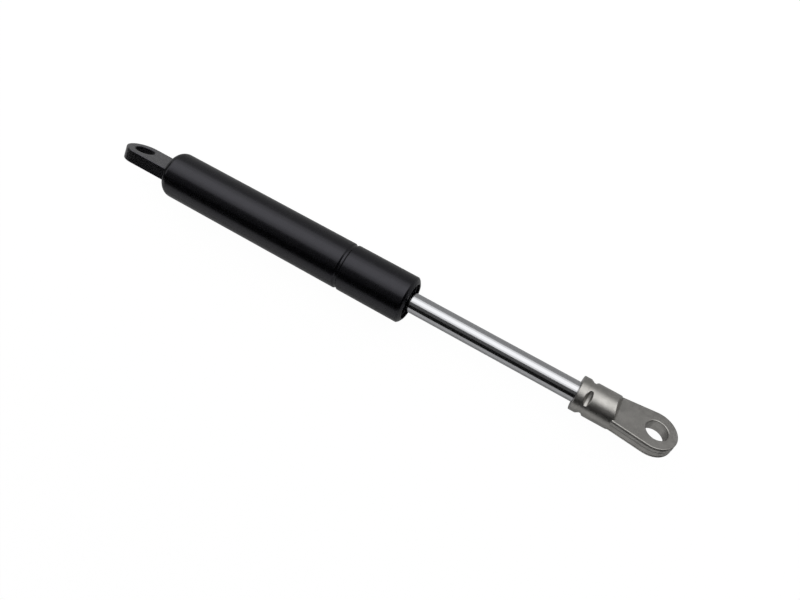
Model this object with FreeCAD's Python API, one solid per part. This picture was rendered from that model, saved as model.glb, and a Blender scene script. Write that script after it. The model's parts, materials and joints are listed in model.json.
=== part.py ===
import FreeCAD, Part
import math
import os

# A gas strut stay, 8 mm rod in a 19 mm tube, drawn fully extended.
# Millimetres. The origin is the centre of the base eye's hole, +X runs along the strut to the
# rod eye, the base eye's pin hole runs along Y, and Z is up.

# ---- what the strut is ordered by ------------------------------------------------------------
STROKE = 60.0               # travel of the rod
TUBE_OD = 19.0              # outside of the pressure tube
TUBE_WALL = 1.0
ROD_D = 8.0                 # chromed rod
PIN_D = 8.0                 # pins that both eyes take
EYE_T = 5.0                 # thickness of both blade eyes
ROD_EYE_ROLL = 23.7         # degrees that the rod eye is turned about +X from the base eye

# ---- clearances ------------------------------------------------------------------------------
SEAT_GAP = 0.05             # between a piece and the bore or face that it is pushed against
RUN_GAP = 0.05              # radial, between what slides or turns and what guides or seals it
SWEEP_GAP = 0.3             # between pieces that move past each other without touching
RING_PLAY = 0.1             # beside and under the piston ring in its groove
BASE_PIN_GAP = 0.05         # radial, pin in the base eye
ROD_PIN_GAP = 0.1           # radial, pin in the rod eye
TAIL_GAP = 0.7              # rod's tail to the base plug, rod fully in
CLOSED_GAP = 8.3            # mouth of the tube to the rod eye, rod fully in

# ---- base end --------------------------------------------------------------------------------
BASE_REACH = 15.5           # base eye's hole to the closed end of the tube
BASE_EYE_RIM = 3.2          # metal around the base eye's hole
BASE_ROUND = 3.6            # outer radius of the tube's spun-in end
BASE_RIM_FLAT = 0.5         # flat of the spun-in end that the eye laps over
WELD_LEG = 1.0
WELD_INSET = 0.4            # each end of the weld, in from the radius of the tube's rim
PLUG_T = 6.5

# ---- tube ------------------------------------------------------------------------------------
MOUTH_ROUND = 2.3           # outer radius of the rolled-in mouth, which its lip ends with
BEAD_W = 1.8                # width of the rolled bead at the tube's surface
BEAD_DEPTH = 0.45

# ---- piston pack, from the tail to the stop --------------------------------------------------
TAIL_D = 5.0                # rod's tail, through the piston
TAIL_HEAD_L = 2.2           # peened end of the tail
TAIL_HEAD_D = 7.6
TAIL_HEAD_ROUND = 1.5
REAR_WASHER_T = 1.2
VALVE_DISC_T = 0.6
VALVE_DISC_SIDE = 1.2       # edge of the valve disc to the tube's bore
PISTON_L = 7.0
FRONT_WASHER_T = 1.2
BUMPER_L = 3.8
BUMPER_SIDE = 1.5           # side of the bumper to the tube's bore
BUMPER_ROUND = 0.9
PISTON_RING_W = 2.6
PISTON_RING_T = 1.8         # radial
ORIFICE_D = 1.0
ORIFICE_WALL = 0.12         # orifice to the washers on one side and to the ring groove on the other

# ---- guide pack, from the bead to the mouth --------------------------------------------------
SUPPORT_T = 1.5
SEAL_L = 5.0
SEAL_V_W = 1.7              # opening of the seal's V
SEAL_V_DEPTH = 2.5
BACK_RING_T = 1.2
SLEEVE_L = 5.0
SLEEVE_WALL = 1.3
SLEEVE_PORT_D = 2.0
GUIDE_L = 11.65
GUIDE_POCKET_DEPTH = 1.2    # shallow pocket in the guide's outer face
BUSH_WALL = 0.9
END_WASHER_STAND = 0.3      # end washer's straight edge, before the rounding that fits the lip
END_WASHER_SHOW = 0.9       # how far the end washer shows inside the mouth
WIPER_SEAT = 2.1            # wiper's depth in the guide's bore
WIPER_STAND = 1.5           # collar's height above the pocket's floor
WIPER_WALL = 0.5
O_RING_T = 1.5              # cord of both O-rings

# ---- rod eye ---------------------------------------------------------------------------------
EYE_SHANK = 29.7            # hub's face to the hole
HUB_WALL = 2.6              # metal around the rod
HUB_L = 13.6
FLANGE_L = 2.7
FLANGE_STAND = 0.1
ROD_SOCKET_L = 11.9         # depth of the rod in the hub
CRIMP_X = 4.3               # hub's face to the middle of the crimps
CRIMP_W = 2.9               # at the hub's surface
CRIMP_FLOOR_W = 1.0
CRIMP_CHORD = 6.1
CRIMP_DEPTH = 0.95
CRIMP_COUNT = 4
CRIMP_GROOVE_W = 2.4        # rod's groove, which the crimps fill
CRIMP_GROOVE = 0.6
NECK_HALF_W = 6.4
SHOULDER_L = 2.0            # slope from the hub down to the blade
ROD_EYE_RIM = 3.5           # metal beyond the rod eye's hole
ROD_EYE_R = 8.3             # round of its tip
EDGE_CHAMFER = 0.3          # around the faces of the rod eye
HOLE_CHAMFER = 0.3
RIM_BREAK = 0.25            # edges broken on turned pieces

# ---- radii -----------------------------------------------------------------------------------
TUBE_R = TUBE_OD / 2
BORE_R = TUBE_R - TUBE_WALL
SEAT_R = BORE_R - SEAT_GAP
ROD_R = ROD_D / 2
GUIDED_R = ROD_R + RUN_GAP
TAIL_HOLE_R = TAIL_D / 2 + SEAT_GAP
MOUTH_R = TUBE_R - MOUTH_ROUND
POCKET_R = MOUTH_R - END_WASHER_SHOW
BUSH_R = GUIDED_R + BUSH_WALL
COLLAR_R = GUIDED_R + WIPER_WALL
RING_R = BORE_R - RUN_GAP
RING_FLOOR_R = RING_R - PISTON_RING_T - RING_PLAY
ORIFICE_R = RING_FLOOR_R - ORIFICE_WALL - ORIFICE_D / 2
PISTON_WASHER_R = ORIFICE_R - ORIFICE_D / 2 - ORIFICE_WALL
HUB_R = ROD_R + HUB_WALL
BASE_HOLE_R = PIN_D / 2 + BASE_PIN_GAP
BASE_EYE_R = BASE_HOLE_R + BASE_EYE_RIM
BASE_RIM_R = min(TUBE_R - BASE_ROUND, BASE_EYE_R) - BASE_RIM_FLAT
WELD_HALF_L = BASE_RIM_R - WELD_INSET
ROD_HOLE_R = PIN_D / 2 + ROD_PIN_GAP

# The bead is one arc outside and the concentric arc, a wall thicker, inside.
BEAD_R = ((BEAD_W / 2) ** 2 + BEAD_DEPTH ** 2) / (2 * BEAD_DEPTH)
BEAD_CENTRE_R = TUBE_R + BEAD_R - BEAD_DEPTH
BEAD_HALF_INSIDE = math.sqrt((BEAD_R + TUBE_WALL) ** 2 - (BEAD_CENTRE_R - BORE_R) ** 2)

# ---- places along the strut, each where the piece before it ends -----------------------------
END_WASHER_T = MOUTH_ROUND - TUBE_WALL + END_WASHER_STAND
x_tube = BASE_REACH
x_plug = x_tube + TUBE_WALL + SEAT_GAP
x_plug_face = x_tube + TUBE_WALL + PLUG_T
x_plug_o_ring = (x_plug + BASE_ROUND - TUBE_WALL + x_plug_face) / 2
x_tail = x_plug_face + TAIL_GAP + STROKE
x_rear_washer = x_tail + TAIL_HEAD_L
x_valve_disc = x_rear_washer + REAR_WASHER_T
x_piston = x_valve_disc + VALVE_DISC_T
x_piston_ring = x_piston + (PISTON_L - PISTON_RING_W) / 2
x_front_washer = x_piston + PISTON_L
x_bumper = x_front_washer + FRONT_WASHER_T
x_support = x_bumper + BUMPER_L + SWEEP_GAP
x_bead = x_support - SEAT_GAP - BEAD_HALF_INSIDE
x_seal = x_support + SUPPORT_T
x_back_ring = x_seal + SEAL_L
x_sleeve = x_back_ring + BACK_RING_T
x_guide = x_sleeve + SLEEVE_L
x_guide_o_ring = x_guide + GUIDE_L / 2
x_end_washer = x_guide + GUIDE_L
x_pocket = x_end_washer - GUIDE_POCKET_DEPTH
x_wiper = x_pocket - WIPER_SEAT
x_mouth = x_end_washer + END_WASHER_T + SEAT_GAP + TUBE_WALL
x_hub = x_mouth + STROKE + CLOSED_GAP
x_crimp = x_hub + CRIMP_X
x_rod_end = x_hub + ROD_SOCKET_L
x_hub_end = x_hub + HUB_L
x_eye = x_hub + EYE_SHANK
x_eye_round = x_eye + ROD_HOLE_R + ROD_EYE_RIM - ROD_EYE_R

ALONG = FreeCAD.Vector(1, 0, 0)
ACROSS = FreeCAD.Vector(0, 1, 0)


def at(x, y=0.0, z=0.0):
    return FreeCAD.Vector(x, y, z)


def rod_of(x0, x1, radius):
    """A plain round bar along the strut."""
    return Part.makeCylinder(radius, x1 - x0, at(x0), ALONG)


def ring(x0, x1, outer, inner):
    """A washer or sleeve along the strut."""
    return rod_of(x0, x1, outer).cut(rod_of(x0, x1, inner))


def rim(shape, x, radius):
    """The circular edges of a turned piece at one place and radius."""
    found = []
    for edge in shape.Edges:
        curve = edge.Curve
        if not isinstance(curve, Part.Circle):
            continue
        if abs(curve.Center.x - x) < 1e-4 and abs(curve.Radius - radius) < 1e-4:
            found.append(edge)
    return found


def rounded(shape, x, radius, size):
    return shape.makeFillet(size, rim(shape, x, radius))


def broken(shape, x, radius, size=RIM_BREAK):
    return shape.makeChamfer(size, rim(shape, x, radius))


def o_ring(x):
    """A round cord ring that touches the tube's bore."""
    return Part.makeTorus(SEAT_R - O_RING_T / 2, O_RING_T / 2, at(x), ALONG)


def o_ring_groove(x):
    """What an O-ring's groove takes out of a seated piece."""
    floor = SEAT_R - O_RING_T - SEAT_GAP
    half = O_RING_T / 2 + SEAT_GAP
    return ring(x - half, x + half, BORE_R, floor)


# ---- fixed to the tube -----------------------------------------------------------------------
def pressure_tube():
    """Drawn tube: spun in at the base, beaded, and rolled in at the mouth."""
    outside = rod_of(x_tube, x_mouth, TUBE_R)
    outside = rounded(outside, x_tube, TUBE_R, BASE_ROUND)
    outside = rounded(outside, x_mouth, TUBE_R, MOUTH_ROUND)
    inside = rod_of(x_tube + TUBE_WALL, x_mouth - TUBE_WALL, BORE_R)
    inside = rounded(inside, x_tube + TUBE_WALL, BORE_R, BASE_ROUND - TUBE_WALL)
    inside = rounded(inside, x_mouth - TUBE_WALL, BORE_R, MOUTH_ROUND - TUBE_WALL)
    hump = Part.makeTorus(BEAD_CENTRE_R, BEAD_R + TUBE_WALL, at(x_bead), ALONG)
    groove = Part.makeTorus(BEAD_CENTRE_R, BEAD_R, at(x_bead), ALONG)
    tube = outside.cut(inside.cut(hump)).cut(groove)
    tube = tube.cut(rod_of(x_tube - 1, x_tube + TUBE_WALL + 1, BASE_RIM_R))
    return tube.cut(rod_of(x_mouth - TUBE_WALL - 1, x_mouth + 1, MOUTH_R))


def base_plug():
    """Steel plug that closes the base, its boss flush with the spun rim."""
    body = rod_of(x_plug, x_plug_face, SEAT_R)
    body = rounded(body, x_plug, SEAT_R, BASE_ROUND - TUBE_WALL)
    body = broken(body, x_plug_face, SEAT_R)
    boss = rod_of(x_tube, x_plug + SEAT_GAP, BASE_RIM_R - SEAT_GAP)
    return body.fuse(boss).cut(o_ring_groove(x_plug_o_ring)).removeSplitter()


def base_plug_o_ring():
    return o_ring(x_plug_o_ring)


def blade(x_root, half_root, x_round, tip_r, x_hole, hole_r):
    """A flat eye, thick along Y: straight sides from its root, tangent to its round tip."""
    side = math.copysign(1.0, x_root - x_round)
    reach = abs(x_root - x_round)
    turn = math.atan2(half_root, reach) + math.acos(tip_r / math.hypot(reach, half_root))
    y = -EYE_T / 2
    upper = at(x_round + side * tip_r * math.cos(turn), y, tip_r * math.sin(turn))
    lower = at(upper.x, y, -upper.z)
    tip = at(x_round - side * tip_r, y)
    root_upper = at(x_root, y, half_root)
    root_lower = at(x_root, y, -half_root)
    edges = [
        Part.LineSegment(root_upper, upper).toShape(),
        Part.Arc(upper, tip, lower).toShape(),
        Part.LineSegment(lower, root_lower).toShape(),
        Part.LineSegment(root_lower, root_upper).toShape(),
    ]
    plate = Part.Face(Part.Wire(edges)).extrude(at(0, EYE_T))
    return plate.cut(Part.makeCylinder(hole_r, EYE_T + 2, at(x_hole, y - 1), ACROSS))


def base_eye():
    return blade(x_tube, BASE_EYE_R, 0.0, BASE_EYE_R, 0.0, BASE_HOLE_R)


def base_weld():
    """Fillet welds along both faces of the blade's root, on the tube's spun-in end."""
    outside = rod_of(x_tube, x_tube + 2 * BASE_ROUND, TUBE_R)
    tube_end = rounded(outside, x_tube, TUBE_R, BASE_ROUND)
    welds = []
    for side in (1, -1):
        face = side * EYE_T / 2
        crest = face + side * WELD_LEG
        section = Part.makePolygon([
            at(x_tube - WELD_LEG, face, -WELD_HALF_L),
            at(x_tube, crest, -WELD_HALF_L),
            at(x_tube + WELD_LEG, crest, -WELD_HALF_L),
            at(x_tube + WELD_LEG, face, -WELD_HALF_L),
            at(x_tube - WELD_LEG, face, -WELD_HALF_L),
        ])
        welds.append(Part.Face(section).extrude(at(0, 0, 2 * WELD_HALF_L)).cut(tube_end))
    return Part.makeCompound(welds)


def seal_support_washer():
    washer = ring(x_support, x_seal, SEAT_R, ROD_R + SWEEP_GAP)
    return broken(washer, x_support, SEAT_R)


def rod_seal():
    """Lip seal: a rubber ring with a V that the gas spreads open."""
    body = ring(x_seal, x_back_ring, SEAT_R, GUIDED_R)
    middle = (SEAT_R + GUIDED_R) / 2
    vee = Part.makePolygon([
        at(x_seal, 0, middle - SEAL_V_W / 2),
        at(x_seal, 0, middle + SEAL_V_W / 2),
        at(x_seal + SEAL_V_DEPTH, 0, middle),
        at(x_seal, 0, middle - SEAL_V_W / 2),
    ])
    return body.cut(Part.Face(vee).revolve(at(0), ALONG, 360))


def seal_back_ring():
    return ring(x_back_ring, x_sleeve, SEAT_R, GUIDED_R)


def grease_sleeve():
    """Spacer that keeps a grease chamber around the rod, with a filling port on two sides."""
    sleeve = ring(x_sleeve, x_guide, SEAT_R, SEAT_R - SLEEVE_WALL)
    middle = (x_sleeve + x_guide) / 2
    port = Part.makeCylinder(SLEEVE_PORT_D / 2, TUBE_OD, at(middle, -TUBE_R), ACROSS)
    return sleeve.cut(port)


def rod_guide():
    """Guide body: bush in its bore, O-ring outside, pocket in its outer face."""
    body = ring(x_guide, x_end_washer, SEAT_R, BUSH_R + SEAT_GAP)
    body = broken(body, x_guide, SEAT_R)
    body = body.cut(o_ring_groove(x_guide_o_ring))
    return body.cut(rod_of(x_pocket, x_end_washer + 1, POCKET_R))


def guide_o_ring():
    return o_ring(x_guide_o_ring)


def guide_bush():
    return ring(x_guide, x_wiper, BUSH_R, GUIDED_R)


def wiper_ring():
    """Scraper around the rod: seated in the guide's bore, a thin collar standing out of it."""
    tip = x_pocket + WIPER_STAND
    seat = ring(x_wiper, x_pocket, BUSH_R, GUIDED_R)
    collar = broken(ring(x_wiper, tip, COLLAR_R, GUIDED_R), tip, COLLAR_R, WIPER_WALL / 2)
    return seat.fuse(collar).removeSplitter()


def end_washer():
    """Hard washer under the rolled lip, rounded to fit inside it."""
    face = x_end_washer + END_WASHER_T
    washer = ring(x_end_washer, face, SEAT_R, POCKET_R)
    return rounded(washer, face, SEAT_R, MOUTH_ROUND - TUBE_WALL)


# ---- floating in the piston, held from turning by the tube -----------------------------------
def piston_ring():
    return ring(x_piston_ring, x_piston_ring + PISTON_RING_W, RING_R, RING_R - PISTON_RING_T)


# ---- on the rod ------------------------------------------------------------------------------
def piston_washer(x0, x1):
    return ring(x0, x1, PISTON_WASHER_R, TAIL_HOLE_R)


def orifice(x0, x1):
    return Part.makeCylinder(ORIFICE_D / 2, x1 - x0, at(x0, 0, ORIFICE_R), ALONG)


def piston():
    """Piston with its ring groove and one small orifice that meters the gas."""
    outer = BORE_R - SWEEP_GAP
    body = ring(x_piston, x_front_washer, outer, TAIL_HOLE_R)
    body = broken(body, x_piston, outer)
    body = broken(body, x_front_washer, outer)
    groove_start = x_piston_ring - RING_PLAY
    groove_end = x_piston_ring + PISTON_RING_W + RING_PLAY
    body = body.cut(ring(groove_start, groove_end, BORE_R, RING_FLOOR_R))
    return body.cut(orifice(x_piston - 1, x_front_washer + 1))


def piston_valve_disc():
    """Thin disc behind the piston, with a port in line with the orifice."""
    disc = ring(x_valve_disc, x_piston, BORE_R - VALVE_DISC_SIDE, TAIL_HOLE_R)
    return disc.cut(orifice(x_valve_disc - 1, x_piston + 1))


def piston_rear_washer():
    return piston_washer(x_rear_washer, x_valve_disc)


def piston_front_washer():
    return piston_washer(x_front_washer, x_bumper)


def rebound_bumper():
    """Rubber ring on the rod that meets the seal's support washer when the rod is fully out."""
    end = x_bumper + BUMPER_L
    radius = BORE_R - BUMPER_SIDE
    bumper = ring(x_bumper, end, radius, ROD_R + SEAT_GAP)
    bumper = rounded(bumper, x_bumper, radius, BUMPER_ROUND)
    return rounded(bumper, end, radius, BUMPER_ROUND)


def piston_rod():
    """Chromed rod: peened tail through the piston, crimp groove near the rod eye."""
    shank = broken(rod_of(x_bumper, x_rod_end, ROD_R), x_rod_end, ROD_R)
    half = CRIMP_GROOVE_W / 2
    shank = shank.cut(ring(x_crimp - half, x_crimp + half, HUB_R, ROD_R - CRIMP_GROOVE))
    tail = rod_of(x_rear_washer, x_bumper, TAIL_D / 2)
    head = rod_of(x_tail, x_rear_washer, TAIL_HEAD_D / 2)
    head = rounded(head, x_tail, TAIL_HEAD_D / 2, TAIL_HEAD_ROUND)
    return shank.fuse(tail).fuse(head).removeSplitter()


# ---- rod eye ---------------------------------------------------------------------------------
def at_each_crimp(shape):
    """Copies of a shape that stands on the Z side, turned to where the crimps are."""
    copies = []
    for i in range(CRIMP_COUNT):
        copy = shape.copy()
        copy.rotate(at(0), ALONG, 360.0 * (i + 0.5) / CRIMP_COUNT)
        copies.append(copy)
    return copies


def crimp_punch():
    """What one crimp presses out of the hub: a flat floor with sloping ends."""
    y = -CRIMP_CHORD / 2
    floor = HUB_R - CRIMP_DEPTH
    slope = (CRIMP_W - CRIMP_FLOOR_W) / 2 / CRIMP_DEPTH
    top = HUB_R + CRIMP_DEPTH
    half_top = CRIMP_FLOOR_W / 2 + slope * (top - floor)
    section = Part.makePolygon([
        at(x_crimp - CRIMP_FLOOR_W / 2, y, floor),
        at(x_crimp + CRIMP_FLOOR_W / 2, y, floor),
        at(x_crimp + half_top, y, top),
        at(x_crimp - half_top, y, top),
        at(x_crimp - CRIMP_FLOOR_W / 2, y, floor),
    ])
    return Part.Face(section).extrude(at(0, CRIMP_CHORD))


def crimp_lugs():
    """Metal that the crimps push through into the rod's groove."""
    half = CRIMP_GROOVE_W / 2 - SEAT_GAP
    lip = ring(x_crimp - half, x_crimp + half, ROD_R + 3 * SEAT_GAP, ROD_R - CRIMP_GROOVE + SEAT_GAP)
    sector = Part.makeBox(2 * half, ROD_R, HUB_R, at(x_crimp - half, -ROD_R / 2))
    return [lip.common(copy) for copy in at_each_crimp(sector)]


def hub():
    """Round socket with a flange and crimps, sloping down to the blade at its far end."""
    flange_r = HUB_R + FLANGE_STAND
    flange = broken(rod_of(x_hub, x_hub + FLANGE_L, flange_r), x_hub, flange_r, EDGE_CHAMFER)
    slope = Part.makeCone(HUB_R, EYE_T / 2, SHOULDER_L, at(x_hub_end), ALONG)
    body = rod_of(x_hub, x_hub_end, HUB_R).fuse(flange).fuse(slope)
    for punch in at_each_crimp(crimp_punch()):
        body = body.cut(punch)
    return body


def on_blade_outline(edge):
    """True for an edge of the blade's sides or tip that lies in one of its two flat faces."""
    box = edge.BoundBox
    on_face = box.YLength < 1e-4 and abs(abs(box.YMin) - EYE_T / 2) < 1e-4
    at_hole = isinstance(edge.Curve, Part.Circle) and edge.Curve.Radius < ROD_EYE_R - 1e-4
    return on_face and box.XLength > 1 and not at_hole


def is_hole_rim(edge):
    return isinstance(edge.Curve, Part.Circle) and abs(edge.Curve.Radius - ROD_HOLE_R) < 1e-4


def rod_eye():
    """Cast end fitting, crimped on the rod, with a flat blade and a pin hole."""
    x_root = (x_rod_end + x_hub_end) / 2
    plate = blade(x_root, NECK_HALF_W, x_eye_round, ROD_EYE_R, x_eye, ROD_HOLE_R)
    rims = [edge for edge in plate.Edges if is_hole_rim(edge)]
    plate = plate.makeChamfer(HOLE_CHAMFER, rims)
    outline = [edge for edge in plate.Edges if on_blade_outline(edge)]
    plate = plate.makeChamfer(EDGE_CHAMFER, outline)
    eye = hub().fuse(plate).cut(rod_of(x_hub - 1, x_rod_end + SEAT_GAP, ROD_R + SEAT_GAP))
    for lug in crimp_lugs():
        eye = eye.fuse(lug)
    eye = eye.removeSplitter()
    eye.rotate(at(0), ALONG, ROD_EYE_ROLL)
    return eye


PIECES = [
    pressure_tube, base_plug, base_plug_o_ring, base_eye, base_weld,
    seal_support_washer, rod_seal, seal_back_ring, grease_sleeve,
    rod_guide, guide_o_ring, guide_bush, wiper_ring, end_washer,
    piston_ring,
    piston, piston_valve_disc, piston_rear_washer, piston_front_washer,
    rebound_bumper, piston_rod, rod_eye,
]

os.makedirs("parts", exist_ok=True)
for piece in PIECES:
    shape = piece()
    print(piece.__name__, "solids", len(shape.Solids), "valid", shape.isValid())
    shape.exportStep("parts/" + piece.__name__ + ".step")
print("hole to hole", round(x_eye, 2))
print("bead", round(x_bead, 2), "mouth", round(x_mouth, 2), "hub", round(x_hub, 2))
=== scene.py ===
# %% [markdown]
# # A gas strut stay, made around its fixed CAD frame
# A gas strut is a sealed tube full of compressed gas with a polished rod coming out of one end.
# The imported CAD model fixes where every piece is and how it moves, so nothing here moves a piece.
# This lesson adds what a drawing leaves out: rolled and cast edges, finishes and light.

# %% Load the fixed frame
import json
import math

import bmesh
import bpy
from mathutils import Matrix, Quaternion, Vector


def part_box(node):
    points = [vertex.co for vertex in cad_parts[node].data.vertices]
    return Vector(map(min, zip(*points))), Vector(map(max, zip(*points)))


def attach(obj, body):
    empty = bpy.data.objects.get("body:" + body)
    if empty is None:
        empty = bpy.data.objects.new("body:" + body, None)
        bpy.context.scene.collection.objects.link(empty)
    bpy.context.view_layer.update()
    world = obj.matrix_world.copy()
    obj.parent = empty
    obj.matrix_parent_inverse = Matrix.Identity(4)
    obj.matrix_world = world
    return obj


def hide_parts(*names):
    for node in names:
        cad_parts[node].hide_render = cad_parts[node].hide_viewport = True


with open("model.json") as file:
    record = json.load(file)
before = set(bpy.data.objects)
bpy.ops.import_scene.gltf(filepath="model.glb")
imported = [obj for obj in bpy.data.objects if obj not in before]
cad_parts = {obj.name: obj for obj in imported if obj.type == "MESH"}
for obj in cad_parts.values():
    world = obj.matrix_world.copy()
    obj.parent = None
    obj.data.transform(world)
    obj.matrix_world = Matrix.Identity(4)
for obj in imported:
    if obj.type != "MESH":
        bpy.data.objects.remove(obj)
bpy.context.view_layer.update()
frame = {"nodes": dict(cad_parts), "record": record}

MM = 0.001
record = frame["record"]
nodes = frame["nodes"]

# %% [markdown]
# ## Places and sizes
# Every place comes from the boxes of the CAD nodes and from the two pin holes in the record, so
# the pieces stay right if the strut is ordered longer or thicker. Shapes are drawn in millimetres,
# as on a workshop drawing, and scaled to metres when they become Blender objects.

# %% Read places from the frame
def low(node):
    """Lowest corner of a CAD node in millimetres."""
    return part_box(node)[0] / MM


def high(node):
    """Highest corner of a CAD node in millimetres."""
    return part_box(node)[1] / MM


mounts = {mount["name"]: mount for mount in record["mounts"]}
base_hole_r = mounts["base_eye_hole"]["dims"]["r_mm"]
rod_hole_r = mounts["rod_eye_hole"]["dims"]["r_mm"]
rod_hole_x = mounts["rod_eye_hole"]["pos_m"][0] / MM
rod_hole_axis = Vector(mounts["rod_eye_hole"]["axis"])
rod_eye_roll = math.atan2(rod_hole_axis.z, rod_hole_axis.y)
eye_half_t = high("base_eye").y

tube_x0 = low("pressure_tube").x
mouth_x = high("pressure_tube").x
tube_r = high("pressure_tube").y
rod_r = high("piston_rod").y
print("tube", round(tube_x0, 2), "to", round(mouth_x, 2), "radius", round(tube_r, 2))
print("rod radius", round(rod_r, 2), "eye turned", round(math.degrees(rod_eye_roll), 1), "degrees")

# %% [markdown]
# ## The camera
# A camera is placed by where it stands, what it looks at and how far it is rolled. The strut lies
# along X, and a strong roll lays it across the frame from upper left to lower right, with the rod
# eye near and the base eye far. The camera is made first, so that each piece can be looked at.

# %% Place the camera
CAMERA_AT = Vector((0.17758, 0.09581, 0.24649))
LOOK_AT = Vector((0.1230, -0.0015, 0.0))
CAMERA_ROLL = math.radians(-124.25)
LENS = 32.33
SENSOR_WIDTH = 36
NEAREST = 0.01


def add_object(name, data):
    """Puts a mesh, lamp or camera in the scene."""
    made = bpy.data.objects.new(name, data)
    bpy.context.scene.collection.objects.link(made)
    return made


camera_data = bpy.data.cameras.new("camera")
camera_data.lens = LENS
camera_data.sensor_width = SENSOR_WIDTH
camera_data.clip_start = NEAREST
camera = add_object("camera", camera_data)
aim = (LOOK_AT - CAMERA_AT).to_track_quat("-Z", "Y")
camera.rotation_mode = "QUATERNION"
camera.rotation_quaternion = aim @ Quaternion((0, 0, 1), CAMERA_ROLL)
camera.location = CAMERA_AT
bpy.context.scene.camera = camera
bpy.context.scene.view_settings.view_transform = "Standard"
print("camera", round((LOOK_AT - CAMERA_AT).length / MM), "mm from the strut")

# %% [markdown]
# ## Nodes for finishes
# A finish is a small tree of nodes. Writing each tree out by hand hides the idea, so one helper
# makes a node and fills its sockets by name, and others give the parts that all finishes share:
# grain, roughness that wanders, a bump, and edges that wear. The noises are placed by the object's
# own coordinates in metres, so a scale of 1000 means detail about a millimetre across.

# %% Helpers that make nodes
def node(tree, kind, **settings):
    """A shader node, its sockets and settings filled by name; a socket given as value is linked."""
    made = tree.nodes.new("ShaderNode" + kind)
    for name, value in settings.items():
        socket = made.inputs.get(name.replace("_", " "))
        if socket is None:
            setattr(made, name, value)
        elif isinstance(value, bpy.types.NodeSocket):
            tree.links.new(value, socket)
        else:
            socket.default_value = value
    return made


def grain(tree, scale, stretch=(1, 1, 1), detail=3):
    """Noise on the object's coordinates, optionally drawn out along an axis."""
    place = node(tree, "TexCoord").outputs["Object"]
    scaled = node(tree, "Mapping", Vector=place, Scale=stretch).outputs["Vector"]
    noise = node(tree, "TexNoise", Vector=scaled, Scale=scale, Detail=detail, Roughness=0.55)
    return noise.outputs["Fac"]


def spread(tree, value, low_end, high_end, start=0.3, end=0.7):
    """Maps the middle of a noise onto a range."""
    mapped = node(tree, "MapRange", Value=value, From_Min=start, From_Max=end,
                  To_Min=low_end, To_Max=high_end)
    return mapped.outputs["Result"]


def calculated(tree, operation, first, second):
    """A Math node of two inputs, each a socket or a plain value."""
    made = node(tree, "Math", operation=operation)
    for socket, value in zip(made.inputs, (first, second)):
        if isinstance(value, bpy.types.NodeSocket):
            tree.links.new(value, socket)
        else:
            socket.default_value = value
    return made.outputs[0]


def blend_colours(tree, factor, first, second):
    mix = tree.nodes.new("ShaderNodeMix")
    mix.data_type = "RGBA"
    tree.links.new(factor, mix.inputs[0])
    for socket, value in ((mix.inputs[6], first), (mix.inputs[7], second)):
        if isinstance(value, bpy.types.NodeSocket):
            tree.links.new(value, socket)
        else:
            socket.default_value = (*value, 1)
    return mix.outputs[2]


def bumped(tree, height, depth_mm, normal=None):
    """A bump whose full height is depth_mm millimetres."""
    made = node(tree, "Bump", Height=height, Distance=depth_mm * MM, Strength=1.0)
    if normal is not None:
        tree.links.new(normal, made.inputs["Normal"])
    return made.outputs["Normal"]


WORN = 0.90
UNWORN = 0.98


def worn_edges(tree, radius_mm):
    """1 on edges, 0 elsewhere: a rounded normal agrees less with the true one near an edge."""
    rounded = node(tree, "Bevel", Radius=radius_mm * MM, samples=6).outputs["Normal"]
    true = node(tree, "NewGeometry").outputs["Normal"]
    agree = node(tree, "VectorMath", operation="DOT_PRODUCT")
    tree.links.new(rounded, agree.inputs[0])
    tree.links.new(true, agree.inputs[1])
    return spread(tree, agree.outputs["Value"], 1.0, 0.0, WORN, UNWORN)


def brighter(colour, gain, lift=0.0):
    return tuple(min(1, gain * part + lift) for part in colour)


def new_finish(name, **sockets):
    """A material with its shader; sockets are values that are the same all over."""
    material = bpy.data.materials.new(name)
    material.use_nodes = True
    tree = material.node_tree
    shader = tree.nodes["Principled BSDF"]
    for key, value in sockets.items():
        shader.inputs[key.replace("_", " ")].default_value = value
    return material, tree, shader


def connect(tree, shader, **sources):
    for key, source in sources.items():
        tree.links.new(source, shader.inputs[key.replace("_", " ")])


# %% [markdown]
# ## Black powder coat
# The tube is sprayed with powder, baked and satin black. The coat is almost colourless: what the
# eye reads as its shape is the soft reflection of the lamps, which the coat tints faintly violet.
# Powder melts into shallow waves, called orange peel, about half a millimetre across, with finer
# grit in between, and it rubs thin on edges. The coat on the stamped plate is paler, reflects more
# and has a little sheen.

# %% Make the black coats
COAT_TINT = (0.90, 0.89, 1.0, 1)
RUBBED_COAT = (0.045, 0.045, 0.047)
WORN_EDGE_MM = 0.15


def powder_coat(name, colour, roughness, peel_mm, ior=1.5, sheen=0.0):
    material, tree, shader = new_finish(name, IOR=ior, Specular_Tint=COAT_TINT,
                                        Sheen_Weight=sheen, Sheen_Roughness=0.4)
    tone = grain(tree, 160, detail=4)
    dark = tuple(0.75 * part for part in colour)
    coat = blend_colours(tree, spread(tree, tone, 0, 1), dark, colour)
    steel_showing = spread(tree, grain(tree, 1400), 0, 0.5, 0.45, 0.75)
    rubbed = calculated(tree, "MULTIPLY", worn_edges(tree, WORN_EDGE_MM), steel_showing)
    colour_out = blend_colours(tree, rubbed, coat, RUBBED_COAT)
    haze = spread(tree, grain(tree, 420, detail=5), roughness - 0.035, roughness + 0.045)
    peel = bumped(tree, grain(tree, 1700, detail=2), peel_mm)
    grit = bumped(tree, grain(tree, 7000, detail=2), peel_mm * 0.25, normal=peel)
    connect(tree, shader, Base_Color=colour_out, Roughness=haze, Normal=grit)
    return material


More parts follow.
